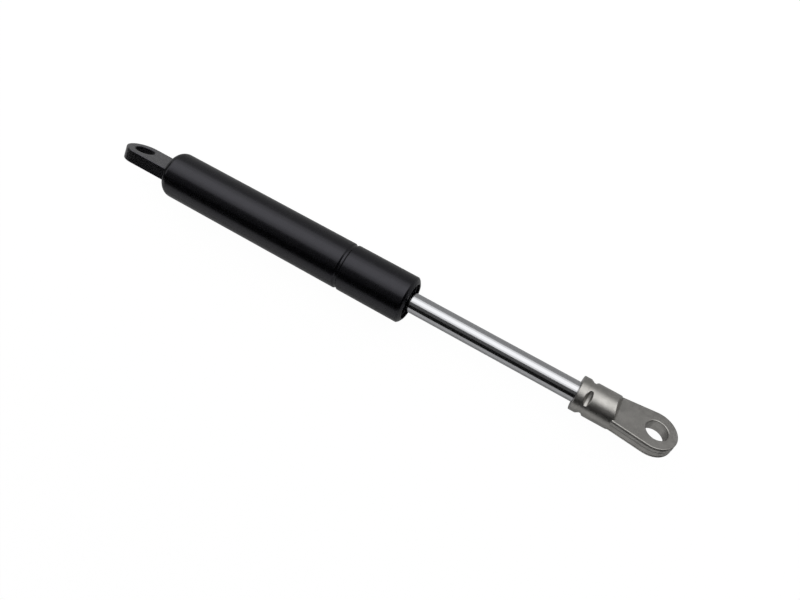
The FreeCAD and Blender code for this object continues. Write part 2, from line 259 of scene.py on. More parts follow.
black_coat = powder_coat("satin_black_coat", (0.0006, 0.0006, 0.0010), 0.25, 0.0025)
black_plate = powder_coat("black_coat_on_plate", (0.0030, 0.0030, 0.0036), 0.25, 0.0015,
                          ior=1.9, sheen=0.2)
black_weld = powder_coat("black_coat_on_weld", (0.004, 0.004, 0.0046), 0.30, 0.010)
black_steel = powder_coat("blackened_steel", (0.008, 0.008, 0.009), 0.30, 0.004)
print("black coats:", black_coat.name, black_plate.name, black_weld.name, black_steel.name)

# %% [markdown]
# ## Hard chrome
# The rod is ground, plated and polished. Chrome mirrors about 60 per cent of the light and is
# faintly blue. Polishing leaves lines around the rod, and sliding through the seal leaves finer
# ones along it, so the roughness has both, and the bump is kept under a thousandth of a millimetre.

# %% Make the chrome
def hard_chrome():
    material, tree, shader = new_finish("hard_chrome", Metallic=1.0)
    polish = grain(tree, 900, stretch=(14, 1, 1), detail=3)
    sliding = grain(tree, 2600, stretch=(0.02, 1, 1), detail=3)
    tone = blend_colours(tree, spread(tree, polish, 0, 1),
                         (0.53, 0.535, 0.55), (0.585, 0.59, 0.61))
    gloss = spread(tree, sliding, 0.09, 0.15)
    lines = bumped(tree, polish, 0.0004)
    scratches = bumped(tree, sliding, 0.0005, normal=lines)
    connect(tree, shader, Base_Color=tone, Roughness=gloss, Normal=scratches)
    return material


chrome = hard_chrome()
print("chrome:", chrome.name)

# %% [markdown]
# ## Satin cast metal
# The rod eye is cast and tumbled. Tumbling leaves a warm grey satin with a fine even grain and rubs
# the edges bright. Here the grain is a bump of about two hundredths of a millimetre, and an occlusion
# node finds the hollows, where painted shade darkens the colour to a dark brown-grey.

# %% Make the cast metal
PAINTED_SHADE_REACH_MM = 2.0
CAST_EDGE_MM = 0.22


def cast_satin(name, pale, dark, roughness):
    material, tree, shader = new_finish(name, Metallic=1.0)
    cloud = grain(tree, 260, detail=5)
    speck = grain(tree, 5200, detail=2)
    body = blend_colours(tree, spread(tree, cloud, 0, 1), dark, pale)
    mottled = blend_colours(tree, spread(tree, speck, 0, 0.28), body, dark)
    bright = blend_colours(tree, worn_edges(tree, CAST_EDGE_MM), mottled, (0.70, 0.69, 0.66))
    # Painted shade: the occlusion node darkens the colour in hollows and crimps, where shade falls.
    shade_occlusion = node(tree, "AmbientOcclusion", Distance=PAINTED_SHADE_REACH_MM * MM, samples=8)
    painted_shade_fac = spread(tree, shade_occlusion.outputs["AO"], 0.0, 1.0, 0.28, 0.78)
    colour = blend_colours(tree, painted_shade_fac, (0.060, 0.058, 0.054), bright)
    rough = spread(tree, grain(tree, 1500, detail=4), roughness - 0.06, roughness + 0.08)
    stones = bumped(tree, grain(tree, 1900, detail=4), 0.022)
    sand = bumped(tree, speck, 0.006, normal=stones)
    connect(tree, shader, Base_Color=colour, Roughness=rough, Normal=sand)
    return material


cast_metal = cast_satin("satin_cast_metal", (0.49, 0.477, 0.455), (0.36, 0.352, 0.335), 0.33)
print("cast metal:", cast_metal.name)

# %% [markdown]
# ## Finishes of the inner pieces
# The sealed pieces only show in a cut model or when the strut is taken apart, and each still gets
# the finish of how it is made: turned and stamped steel with tool lines, moulded rubber and
# plastic with a fine spark-eroded grain, filled PTFE with specks, porous bronze and die-cast alloy.

# %% Make the inner finishes
def turned_metal(name, pale, dark, roughness, ring_scale=2400):
    """Metal with fine tool lines around the strut's axis."""
    material, tree, shader = new_finish(name, Metallic=1.0)
    lines = grain(tree, ring_scale, stretch=(1, 0.03, 0.03), detail=2)
    cloud = grain(tree, 320, detail=4)
    colour = blend_colours(tree, spread(tree, cloud, 0, 1), dark, pale)
    bright = blend_colours(tree, worn_edges(tree, WORN_EDGE_MM), colour, brighter(pale, 1.25))
    rough = spread(tree, lines, roughness - 0.07, roughness + 0.08)
    normal = bumped(tree, lines, 0.003)
    connect(tree, shader, Base_Color=bright, Roughness=rough, Normal=normal)
    return material


def moulded(name, pale, dark, roughness, grain_mm, ior=1.5):
    """Moulded plastic or rubber with a fine matt grain."""
    material, tree, shader = new_finish(name, IOR=ior)
    cloud = grain(tree, 350, detail=4)
    fine = grain(tree, 3200, detail=3)
    colour = blend_colours(tree, spread(tree, cloud, 0, 1), dark, pale)
    rubbed = blend_colours(tree, worn_edges(tree, WORN_EDGE_MM), colour,
                           brighter(pale, 1.35, 0.006))
    rough = spread(tree, fine, roughness - 0.08, roughness + 0.08)
    normal = bumped(tree, fine, grain_mm)
    connect(tree, shader, Base_Color=rubbed, Roughness=rough, Normal=normal)
    return material


finishes = {
    "plug_steel": turned_metal("turned_steel", (0.44, 0.44, 0.45), (0.33, 0.33, 0.34), 0.34),
    "washer_steel": turned_metal("stamped_steel", (0.52, 0.52, 0.53), (0.40, 0.40, 0.41), 0.30, 900),
    "bush_bronze": turned_metal("bearing_bronze", (0.64, 0.46, 0.21), (0.50, 0.34, 0.14), 0.38, 1800),
    "piston_alloy": turned_metal("piston_alloy", (0.63, 0.63, 0.64), (0.50, 0.50, 0.51), 0.40, 1500),
    "seal_rubber": moulded("seal_rubber", (0.026, 0.026, 0.028), (0.018, 0.018, 0.019), 0.62, 0.008),
    "ptfe": moulded("filled_ptfe", (0.72, 0.70, 0.66), (0.58, 0.56, 0.51), 0.46, 0.004, 1.38),
    "sleeve_plastic": moulded("natural_plastic", (0.77, 0.75, 0.70), (0.68, 0.66, 0.61), 0.42, 0.004),
    "guide_black": moulded("black_guide_plastic", (0.014, 0.014, 0.015), (0.009, 0.009, 0.010),
                           0.40, 0.006),
    "wiper_plastic": moulded("black_wiper_plastic", (0.030, 0.030, 0.032), (0.022, 0.022, 0.024),
                             0.16, 0.002),
    "black_coat": black_coat,
    "black_plate": black_plate,
    "weld_metal": black_weld,
    "washer_black": black_steel,
    "rod_chrome": chrome,
    "cast_metal": cast_metal,
}
print("finishes:", len(finishes))

# %% [markdown]
# ## Outlines with real edges
# A drawn corner has no size, but a made edge has: it was broken, rolled, plated or cast round, and
# a highlight runs along it. Every outline here is a chain of corners, each with its own radius,
# and this helper turns the chain into a fine path. It also adds a point just beside each round, so
# that the shading of the round doesn't leak into the long flat next to it.

# %% Round the corners of an outline
HOLD = 0.04
ARC_STEP = math.radians(9)
FEWEST_STEPS = 3


def softened(corners, closed=True):
    """Turns (x, y, radius) corners into a fine path of 2-D points."""
    path = []
    count = len(corners)
    for i, (x, y, radius) in enumerate(corners):
        here = Vector((x, y))
        at_end = not closed and i in (0, count - 1)
        if radius == 0 or at_end:
            path.append(here)
            continue
        to_last = Vector(corners[i - 1][:2]) - here
        to_next = Vector(corners[(i + 1) % count][:2]) - here
        half = to_last.angle(to_next) / 2
        reach = radius / math.tan(half)
        inward = (to_last.normalized() + to_next.normalized()).normalized()
        centre = here + inward * radius / math.sin(half)
        start = here + to_last.normalized() * reach
        end = here + to_next.normalized() * reach
        turn = (start - centre).angle_signed(end - centre)
        steps = max(FEWEST_STEPS, math.ceil(abs(turn) / ARC_STEP))
        if to_last.length > reach + 2 * HOLD:
            path.append(here + to_last.normalized() * (reach + HOLD))
        for k in range(steps + 1):
            spoke = Matrix.Rotation(-turn * k / steps, 2) @ (start - centre)
            path.append(centre + spoke)
        if to_next.length > reach + 2 * HOLD:
            path.append(here + to_next.normalized() * (reach + HOLD))
    return path


# %% [markdown]
# ## A lathe
# Most of a strut is turned, drawn or moulded round, so most of its pieces are an outline spun about
# one axis. Blender's Screw modifier could do it, but building the rings directly gives control over
# where the outline touches the axis, and closes the mesh there with a fan instead of a crack.

# %% Spin outlines about the strut's axis
SEGMENTS = 192
SHARP = math.radians(24)
NOTHING_SHARP = math.radians(180)
ON_AXIS = 1e-6


def finish_object(name, mesh, slot, body, replaced, sharp=SHARP):
    """Scales a mesh to metres, gives it its finish and body, and hides the CAD node it stands for."""
    mesh.transform(Matrix.Scale(MM, 4))
    for polygon in mesh.polygons:
        polygon.use_smooth = True
    mesh.set_sharp_from_angle(angle=sharp)
    piece = add_object(name, mesh)
    mesh.materials.clear()
    mesh.materials.append(finishes[slot])
    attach(piece, body)
    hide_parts(replaced)
    print(name, "faces", len(mesh.polygons))


def closed_mesh(name, build):
    """Turns all faces outwards and makes a mesh of them."""
    bmesh.ops.recalc_face_normals(build, faces=build.faces)
    mesh = bpy.data.meshes.new(name)
    build.to_mesh(mesh)
    build.free()
    return mesh


def join_rings(build, here, there):
    """Quads between two rings, or a fan where one of them is a point on the axis."""
    if len(here) == 1 and len(there) == 1:
        return
    count = max(len(here), len(there))
    for k in range(count):
        following = (k + 1) % count
        corners = [here[k % len(here)], here[following % len(here)],
                   there[following % len(there)], there[k % len(there)]]
        unique = list(dict.fromkeys(corners))
        if len(unique) > 2:
            build.faces.new(unique)


def ring_at(build, x, radius):
    """A ring of points about X, or a single point on the axis."""
    if radius < ON_AXIS:
        return [build.verts.new((x, 0, 0))]
    turns = [math.tau * k / SEGMENTS for k in range(SEGMENTS)]
    return [build.verts.new((x, radius * math.cos(a), radius * math.sin(a))) for a in turns]


def lathe_mesh(name, outline):
    """A closed mesh in millimetres from (x, radius) points, spun about X."""
    build = bmesh.new()
    rings = [ring_at(build, x, radius) for x, radius in outline]
    for here, there in zip(rings, rings[1:] + rings[:1]):
        join_rings(build, here, there)
    return closed_mesh(name, build)


def turned_piece(name, corners, slot, body, replaced):
    finish_object(name, lathe_mesh(name, softened(corners)), slot, body, replaced)


# %% [markdown]
# ## The pressure tube
# The tube is drawn steel, 1 mm thick. Its closed end is spun in over a plug, which leaves a big
# soft shoulder; a roller presses one bead that stops the seal pack; and the mouth is rolled in over
# the guide, which leaves a soft crease around it. The outline runs along the outside and back along
# the inside, so the wall is real. The coat is baked on after the plug is in, so the tube's outline
# carries a thin film over the plug's face.

# %% Turn the tube
WALL = 1.0
SEAT_GAP = 0.05
SHOULDER_R = 3.6
RIM_FLAT = 0.5
MOUTH_ROUND = 2.3
DRAWN_BEAD_HALF_W = 0.9
DRAWN_BEAD_DEPTH = 0.45
BEAD_HALF_W = 1.0
BEAD_DEPTH = 0.52
BEAD_FLOOR_HALF_W = 0.36
BEAD_INSIDE_HALF_W = 1.3
BEAD_INSIDE_FLOOR_HALF_W = 0.5
COAT_FILM = 0.04

bore_r = tube_r - WALL
plug_boss_r = tube_r - SHOULDER_R - RIM_FLAT
lip_r = tube_r - MOUTH_ROUND
bead_floor_r = bore_r - DRAWN_BEAD_DEPTH
bead_arc_r = (DRAWN_BEAD_HALF_W ** 2 + DRAWN_BEAD_DEPTH ** 2) / (2 * DRAWN_BEAD_DEPTH)
hump_r = bead_arc_r + WALL
bead_reach = math.sqrt(hump_r ** 2 - (hump_r - DRAWN_BEAD_DEPTH) ** 2)
bead_x = low("seal_support_washer").x - SEAT_GAP - bead_reach

tube_corners = [
    (tube_x0 - COAT_FILM, 0, 0),
    (tube_x0 - COAT_FILM, tube_r, SHOULDER_R),
    (bead_x - BEAD_HALF_W, tube_r, 0.2),
    (bead_x - BEAD_FLOOR_HALF_W, tube_r - BEAD_DEPTH, 0.16),
    (bead_x + BEAD_FLOOR_HALF_W, tube_r - BEAD_DEPTH, 0.16),
    (bead_x + BEAD_HALF_W, tube_r, 0.2),
    (mouth_x - 1.45, tube_r, 0.3),
    (mouth_x - 0.74, tube_r - 0.64, 0.6),
    (mouth_x, lip_r + 0.46, 0.4),
    (mouth_x - 0.08, lip_r, 0.12),
    (mouth_x - WALL, lip_r, 0.15),
    (mouth_x - WALL, bore_r, MOUTH_ROUND - WALL),
    (bead_x + BEAD_INSIDE_HALF_W, bore_r, 0.6),
    (bead_x + BEAD_INSIDE_FLOOR_HALF_W, bead_floor_r, 0.4),
    (bead_x - BEAD_INSIDE_FLOOR_HALF_W, bead_floor_r, 0.4),
    (bead_x - BEAD_INSIDE_HALF_W, bore_r, 0.6),
    (tube_x0 + WALL, bore_r, SHOULDER_R - WALL),
    (tube_x0 + WALL, plug_boss_r, 0.2),
    (tube_x0, plug_boss_r, 0),
    (tube_x0, 0, 0),
]
turned_piece("tube", tube_corners, "black_coat", "barrel", "pressure_tube")
print("bead at", round(bead_x, 2))

# %% [markdown]
# ## The chromed rod
# One bar from the peened tail, which holds the piston pack, to the end inside the rod eye. The tail
# is turned down, and a groove near the far end takes the metal that the crimps push in.

# %% Turn the rod
TAIL_R = 2.5
TAIL_HEAD_R = 3.8
CRIMP_X = 4.3
CRIMP_GROOVE_HALF_W = 1.2
CRIMP_GROOVE = 0.6

tail_x = low("piston_rod").x
head_x = low("piston_rear_washer").x
step_x = low("rebound_bumper").x
rod_end_x = high("piston_rod").x
hub_x = low("rod_eye").x
crimp_x = hub_x + CRIMP_X
rod_corners = [
    (tail_x, 0, 0),
    (tail_x, TAIL_HEAD_R, 1.5),
    (head_x, TAIL_HEAD_R, 0.15),
    (head_x, TAIL_R, 0.1),
    (step_x, TAIL_R, 0.1),
    (step_x, rod_r, 0.2),
    (crimp_x - CRIMP_GROOVE_HALF_W, rod_r, 0.1),
    (crimp_x - CRIMP_GROOVE_HALF_W, rod_r - CRIMP_GROOVE, 0.15),
    (crimp_x + CRIMP_GROOVE_HALF_W, rod_r - CRIMP_GROOVE, 0.15),
    (crimp_x + CRIMP_GROOVE_HALF_W, rod_r, 0.1),
    (rod_end_x, rod_r, 0.3),
    (rod_end_x, 0, 0),
]
turned_piece("rod", rod_corners, "rod_chrome", "rod", "piston_rod")

# %% [markdown]
# ## The mouth
# Looking into the mouth there are four rings: the rolled lip, the end washer just inside it, the
# guide's shallow pocket, and the wiper's thin collar around the rod, which catches the light on its
# rounded top. They are turned with small moulded or stamped edges.

# %% Turn the rings in the mouth
RUN_GAP = 0.05
COLLAR_WALL = 0.5
POCKET_DEPTH = 1.2
WASHER_SHOWS = 0.9
O_RING_T = 1.5

guide_x0 = low("rod_guide").x
guide_x1 = high("rod_guide").x
washer_x1 = high("end_washer").x
seat_r = high("rod_guide").y
wiper_x0 = low("wiper_ring").x
wiper_x1 = high("wiper_ring").x
wiper_bore_r = rod_r + RUN_GAP
collar_r = wiper_bore_r + COLLAR_WALL
bush_r = high("guide_bush").y
guide_bore_r = bush_r + SEAT_GAP
pocket_x = guide_x1 - POCKET_DEPTH
pocket_r = lip_r - WASHER_SHOWS
groove_x = (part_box("guide_o_ring")[0].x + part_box("guide_o_ring")[1].x) / 2 / MM
groove_half_w = O_RING_T / 2 + SEAT_GAP
groove_floor_r = seat_r - O_RING_T - SEAT_GAP
guide_corners = [
    (guide_x0, guide_bore_r, 0.1),
    (guide_x0, seat_r, 0.25),
    (groove_x - groove_half_w, seat_r, 0.1),
    (groove_x - groove_half_w, groove_floor_r, 0.15),
    (groove_x + groove_half_w, groove_floor_r, 0.15),
    (groove_x + groove_half_w, seat_r, 0.1),
    (guide_x1, seat_r, 0.05),
    (guide_x1, pocket_r, 0.1),
    (pocket_x, pocket_r - 0.1, 0.25),
    (pocket_x, guide_bore_r, 0.1),
]
turned_piece("guide_body", guide_corners, "guide_black", "barrel", "rod_guide")

washer_corners = [
    (guide_x1, pocket_r, 0.12),
    (guide_x1, seat_r, 0.05),
    (washer_x1, seat_r, MOUTH_ROUND - WALL),
    (washer_x1, pocket_r, 0.2),
]
turned_piece("mouth_washer", washer_corners, "washer_black", "barrel", "end_washer")

wiper_corners = [
    (wiper_x0, wiper_bore_r, 0.05),
    (wiper_x0, bush_r, 0.1),
    (pocket_x, bush_r, 0.1),
    (pocket_x, collar_r, 0.12),
    (wiper_x1, collar_r - 0.04, 0.2),
    (wiper_x1, wiper_bore_r, 0.12),
]
turned_piece("wiper", wiper_corners, "wiper_plastic", "barrel", "wiper_ring")

# %% [markdown]
# ## A plate with a hole
# Both eyes are plates with a round tip and a pin hole. Cutting the hole with a boolean gives ragged
# faces, so the plate is built from loops instead. Rays from the hole's centre meet the outline, and
# the same rays meet the hole, so each outline loop pairs with a hole loop point for point. The edge
# is a small cross-section carried around the outline: (how far in from the outline, height).

# %% Build flat eyes from loops
RAYS = 288
RAY_ANGLES = [math.tau * (k + 0.5) / RAYS for k in range(RAYS)]


def outline_reach(angle, inset, eye):
    """Distance from the hole's centre to the plate's outline, drawn in by an inset."""
    side = math.copysign(1.0, eye["root_x"] - eye["round_x"])
    along, up = math.cos(angle), math.sin(angle)
    centre = eye["round_x"] - eye["hole_x"]
    radius = eye["tip_r"] - inset
    half_root = eye["half_root"] - inset
    reach = abs(eye["root_x"] - eye["round_x"])
    turn = math.atan2(half_root, reach) + math.acos(radius / math.hypot(reach, half_root))
    middle = along * centre
    on_tip = middle + math.sqrt(middle ** 2 - centre ** 2 + radius ** 2)
    hit_x = (on_tip * along - centre) * side
    if hit_x <= radius * math.cos(turn):
        return on_tip
    lean_x = side * math.cos(turn)
    lean_z = math.copysign(math.sin(turn), up)
    limits = []
    facing = along * lean_x + up * lean_z
    if facing > 1e-9:
        limits.append((radius + centre * lean_x) / facing)
    if along * side > 1e-9:
        limits.append((eye["root_x"] - eye["hole_x"]) / along)
    return min(limits)


def ray_loop(build, eye, height, reaches):
    """A loop at one height with a point on each ray, as far from the hole's centre as it reaches."""
    loop = []
    for angle, reach in zip(RAY_ANGLES, reaches):
        x = eye["hole_x"] + reach * math.cos(angle)
        loop.append(build.verts.new((x, height, reach * math.sin(angle))))
    return loop


def plate_mesh(name, eye, edge, hole_edge):
    """A closed plate, thick along Y: edge sections go from the upper face to the lower face."""
    build = bmesh.new()
    loops = []
    for inset, height in softened(edge, closed=False):
        reaches = [outline_reach(angle, inset, eye) for angle in RAY_ANGLES]
        loops.append(ray_loop(build, eye, height, reaches))
    for inset, height in reversed(softened(hole_edge, closed=False)):
        loops.append(ray_loop(build, eye, height, [eye["hole_r"] + inset] * RAYS))
    for here, there in zip(loops, loops[1:] + loops[:1]):
        join_rings(build, here, there)
    return closed_mesh(name, build)


# %% [markdown]
# ## The base eye
# A blank stamped from 5 mm steel plate. The punch draws the edge down on the side that it enters,
# which leaves a soft die-roll there and a tighter, slightly worn edge on the far side.

# %% Stamp the base eye
SINK = 0.35

base_eye = {
    "root_x": tube_x0 + SINK,
    "half_root": high("base_eye").z,
    "round_x": 0.0,
    "tip_r": high("base_eye").z,
    "hole_x": 0.0,
    "hole_r": base_hole_r,
}
stamped_edge = [
    (0.9, eye_half_t, 0), (0.0, eye_half_t, 0.34), (0.0, -eye_half_t, 0.22), (0.9, -eye_half_t, 0),
]
punched_hole = [
    (0.8, eye_half_t, 0), (0.0, eye_half_t, 0.25), (0.0, -eye_half_t, 0.18), (0.8, -eye_half_t, 0),
]
blank = plate_mesh("eye_blank", base_eye, stamped_edge, punched_hole)
finish_object("eye_blank", blank, "black_plate", "barrel", "base_eye")

# %% [markdown]
# ## The weld
# Two fillet welds hold the eye on the spun end, one along each face. A weld run is a row of frozen
# puddles, so its surface is a swept round that swells and sinks, with curved ripples that lag in
# the middle. Both runs are coated with the tube.

# %% Lay the two weld runs
WELD_LEG = 1.05
WELD_BULGE = 0.92
WELD_RIPPLE = 0.85
RIPPLE_HEIGHT = 0.07
RIPPLE_LAG = 0.22
WELD_STATIONS = 96
WELD_AROUND = 16


def weld_run(build, side, half_length):
    """One closed run along Z, its section a bulging fillet between the eye and the tube."""
    rings = []
    for k in range(WELD_STATIONS + 1):
        t = 2 * k / WELD_STATIONS - 1
        z = t * half_length
        taper = math.sqrt(max(0.0, 1 - abs(t) ** 6))
        ring = []
        for j in range(WELD_AROUND):
            angle = math.tau * j / WELD_AROUND
            lag = RIPPLE_LAG * math.cos(angle)
            ripple = 1 + RIPPLE_HEIGHT * math.sin(math.tau * (z + lag) / WELD_RIPPLE)
            size = WELD_LEG * taper * ripple
            x = tube_x0 - 0.08 + WELD_BULGE * size * math.cos(angle)
            y = eye_half_t - 0.02 + WELD_BULGE * size * math.sin(angle)
            ring.append(build.verts.new((x, side * y, z)))
        rings.append(ring)
    for here, there in zip(rings, rings[1:]):
        join_rings(build, here, there)
    for ring in (rings[0], rings[-1]):
        bmesh.ops.pointmerge(build, verts=ring, merge_co=ring[0].co)


weld_build = bmesh.new()
for side in (1, -1):
    weld_run(weld_build, side, high("base_weld").z)
weld_mesh = closed_mesh("weld_runs", weld_build)
finish_object("weld_runs", weld_mesh, "weld_metal", "barrel", "base_weld")

# %% [markdown]
# ## The rod eye
# This casting carries the character of the strut, so it gets the most work. A round hub with a
# flange takes the rod, four crimps are pressed in around it, and a sloped shoulder runs down to a
# flat blade. The blade's faces are coined, which spreads a thin lip over a fine undercut, and the
# two die halves leave a parting line around the middle of the sides. The solids are joined and cut
# with booleans, then remeshed in fine voxels, which melts every meeting line into the small round
# that a casting has. All of this happens square to the axes, so flats stay flat, and the eye is
# turned to its real angle at the end.

# %% Shape the rod eye's blade and hub
HUB_WALL = 2.6
HUB_L = 13.6
FLANGE_L = 2.7
SHOULDER_L = 2.0
SHOULDER_CUT_HALF_W = 9
DRAFT = 0.10
ROD_TIP_R = 8.3
NECK_HALF_W = 6.6

hub_r = rod_r + HUB_WALL
flange_r = hub_r + 0.1
hub_end_x = hub_x + HUB_L
tip_x = high("rod_eye").x
rod_eye = {
    "root_x": hub_end_x + 0.9,
    "half_root": NECK_HALF_W,
    "round_x": tip_x - ROD_TIP_R,
    "tip_r": ROD_TIP_R,
    "hole_x": rod_hole_x,
    "hole_r": rod_hole_r,
}
cast_edge_half = [
    (0.9, eye_half_t, 0), (0.26, eye_half_t, 0.08), (0.02, eye_half_t - 0.26, 0.06),
    (0.02, eye_half_t - 0.40, 0.05), (0.30, eye_half_t - 0.50, 0.04), (0.28, eye_half_t - 0.66, 0.04),
    (DRAFT, eye_half_t - 0.80, 0.1), (DRAFT - 0.04, 0.42, 0.1), (0.0, 0.24, 0.05),
]
cast_edge = cast_edge_half + [(inset, -height, r) for inset, height, r in reversed(cast_edge_half)]
drilled_hole = [
    (0.9, eye_half_t, 0), (0.28, eye_half_t, 0.08), (0.0, eye_half_t - 0.28, 0.08),
    (0.0, -eye_half_t + 0.28, 0.08), (0.28, -eye_half_t, 0.08), (0.9, -eye_half_t, 0),
]
hub_corners = [
    (hub_x, 0, 0),
    (hub_x, flange_r, 0.35),
    (hub_x + FLANGE_L, flange_r, 0.2),
    (hub_x + FLANGE_L + 0.2, hub_r, 0.2),
    (hub_end_x + SHOULDER_L, hub_r, 0.5),
    (hub_end_x + SHOULDER_L, 0, 0),
]
shoulder_cut = [
    (hub_end_x - 0.55, hub_r + 1, 0),
    (hub_end_x + SHOULDER_L - 0.35, eye_half_t + 0.01, 0.8),
    (hub_end_x + 6, eye_half_t + 0.01, 0),
    (hub_end_x + 6, hub_r + 1, 0),
]
socket_corners = [
    (hub_x - 1, 0, 0),
    (hub_x - 1, rod_r + 1.4, 0),
    (hub_x + 0.36, rod_r + 0.05, 0.1),
    (rod_end_x + 0.1, rod_r + 0.05, 0.1),
    (rod_end_x + 0.1, 0, 0),
]


def prism_mesh(name, outline, side, half_length):
    """An outline in X and Y, on one side of the eye, drawn out along Z."""
    build = bmesh.new()
    ends = []
    for z in (-half_length, half_length):
        ends.append([build.verts.new((x, side * y, z)) for x, y in outline])
    join_rings(build, *ends)
    for end in ends:
        build.faces.new(end)
    return closed_mesh(name, build)


shoulder_path = softened(shoulder_cut)
shoulders = []
for side in (1, -1):
    prism = prism_mesh("shoulder", shoulder_path, side, SHOULDER_CUT_HALF_W)
    shoulders.append(add_object("shoulder", prism))
eye_body = add_object("eye_body", lathe_mesh("eye_hub", softened(hub_corners)))
eye_blade = add_object("eye_blade", plate_mesh("eye_blade", rod_eye, cast_edge, drilled_hole))
eye_socket = add_object("eye_socket", lathe_mesh("eye_socket", softened(socket_corners)))
print("hub", round(hub_x, 2), "to", round(hub_end_x, 2), "tip", round(tip_x, 2))

# %% [markdown]
# A crimp is pressed with a blunt wedge. Its mark is a V with a narrow floor that rises towards both
# ends, and its side towards the rod slopes more gently than the side towards the blade. The four
# wedges stand at 45 degrees to the blade.

# %% Shape the crimping wedges
CRIMP_HALF_CHORD = 3.3
CRIMP_FLOOR_HALF_W = 0.5
CRIMP_DEPTH = 1.1
CRIMP_RISE = 0.5
CRIMP_NEAR_SLOPE = 0.85
CRIMP_FAR_SLOPE = 0.5
WEDGE_TOP = 1.2
WEDGE_STATIONS = 40


def wedge_mesh(angle):
    """One wedge, long across the strut, its section narrowing towards the floor of the crimp."""
    build = bmesh.new()
    rings = []
    half_floor = CRIMP_FLOOR_HALF_W
    top = hub_r + WEDGE_TOP
    for k in range(WEDGE_STATIONS + 1):
        t = 2 * k / WEDGE_STATIONS - 1
        floor = hub_r - CRIMP_DEPTH + CRIMP_RISE * t ** 2
        near_top = -half_floor - CRIMP_NEAR_SLOPE * (top - floor)
        far_top = half_floor + CRIMP_FAR_SLOPE * (top - floor)
        section = [(near_top, top), (-half_floor, floor), (half_floor, floor), (far_top, top)]
        y = t * CRIMP_HALF_CHORD
        rings.append([build.verts.new((crimp_x + x, y, z)) for x, z in section])
    for here, there in zip(rings, rings[1:]):
        join_rings(build, here, there)
    build.faces.new(rings[0])
    build.faces.new(rings[-1])
    mesh = closed_mesh("wedge", build)
    mesh.transform(Matrix.Rotation(angle, 4, "X"))
    return mesh


wedges = [add_object("wedge", wedge_mesh(math.radians(45 + 90 * k))) for k in range(4)]
print("wedges", len(wedges))

# %% [markdown]
# Booleans are asked for in order: cut the shoulders, join hub and blade, then cut the socket and
# the crimps. The voxel remesh comes last, followed by a light smoothing that takes out most of the
# steps between voxels. The helper objects are taken out of the scene again.

# %% Join, cut, remesh and turn the rod eye
VOXEL = 0.11
SMOOTHING = 3


def add_boolean(target, other, operation):
    cut = target.modifiers.new(operation, "BOOLEAN")
    cut.object = other
    cut.operation = operation
    cut.solver = "EXACT"


for shoulder in shoulders:
    add_boolean(eye_body, shoulder, "DIFFERENCE")
add_boolean(eye_body, eye_blade, "UNION")
add_boolean(eye_body, eye_socket, "DIFFERENCE")
for wedge in wedges:
    add_boolean(eye_body, wedge, "DIFFERENCE")
remesh = eye_body.modifiers.new("remesh", "REMESH")
remesh.mode = "VOXEL"
remesh.voxel_size = VOXEL
settle = eye_body.modifiers.new("settle", "SMOOTH")
settle.factor = 0.5
settle.iterations = SMOOTHING

bpy.context.view_layer.update()
depsgraph = bpy.context.evaluated_depsgraph_get()
cast_mesh = bpy.data.meshes.new_from_object(eye_body.evaluated_get(depsgraph))
for helper in [eye_body, eye_blade, eye_socket, *shoulders, *wedges]:
    bpy.data.objects.remove(helper)
cast_mesh.transform(Matrix.Rotation(rod_eye_roll, 4, "X"))
finish_object("cast_eye", cast_mesh, "cast_metal", "rod", "rod_eye", sharp=NOTHING_SHARP)

# %% [markdown]
# ## Finishes on the carried-over pieces
# The CAD nodes that nothing above stands for already have their right shape, and keep their meshes.
# Every CAD node gets the finish of its slot, so each slot has one finish throughout.

# %% Give every CAD node its finish
NODE_SLOTS = {
    "pressure_tube": "black_coat", "base_plug": "plug_steel", "base_plug_o_ring": "seal_rubber",
    "base_eye": "black_plate", "base_weld": "weld_metal", "seal_support_washer": "washer_steel",
    "rod_seal": "seal_rubber", "seal_back_ring": "ptfe", "grease_sleeve": "sleeve_plastic",
    "rod_guide": "guide_black", "guide_o_ring": "seal_rubber", "guide_bush": "bush_bronze",
    "wiper_ring": "wiper_plastic", "end_washer": "washer_black", "piston_ring": "ptfe",
    "piston": "piston_alloy", "piston_valve_disc": "washer_steel",
    "piston_rear_washer": "washer_steel", "piston_front_washer": "washer_steel",
    "rebound_bumper": "seal_rubber", "piston_rod": "rod_chrome", "rod_eye": "cast_metal",
}
for name, slot in NODE_SLOTS.items():
    materials = nodes[name].data.materials
    if len(materials) == 0:
        materials.append(finishes[slot])
    for index in range(len(materials)):
        materials[index] = finishes[slot]
print("finished CAD nodes:", len(NODE_SLOTS))

# %% [markdown]
# ## The studio
# The strut lies on a white table. To the camera the table is almost its own white, so the strut's
# shadow on it is only a trace. In reflections it is mostly grey paper lit by the lamps. Round metal
# shows the studio as long stripes, so the studio is built for its stripes: a wide soft box with a
# brighter one in front of it on the near side, a dim card and a black card overhead, and a grey
# card on the far side. A black card stands beyond each end. The cards are hidden from the camera
# only.

# %% Lay the table and light the world
FLOOR_GAP = 0.03
TABLE_REACH = 2
PAPER = (0.50, 0.50, 0.50, 1)
WHITE = (1, 1, 1, 1)
TABLE_GLOW = 1.11
SEEN_SHARE = 0.88
MIRRORED_SHARE = 0.12

floor_z = -(tube_r + FLOOR_GAP) * MM


def flat_mesh(name, corners):
    mesh = bpy.data.meshes.new(name)
    mesh.from_pydata(corners, [], [(0, 1, 2, 3)])
    return mesh


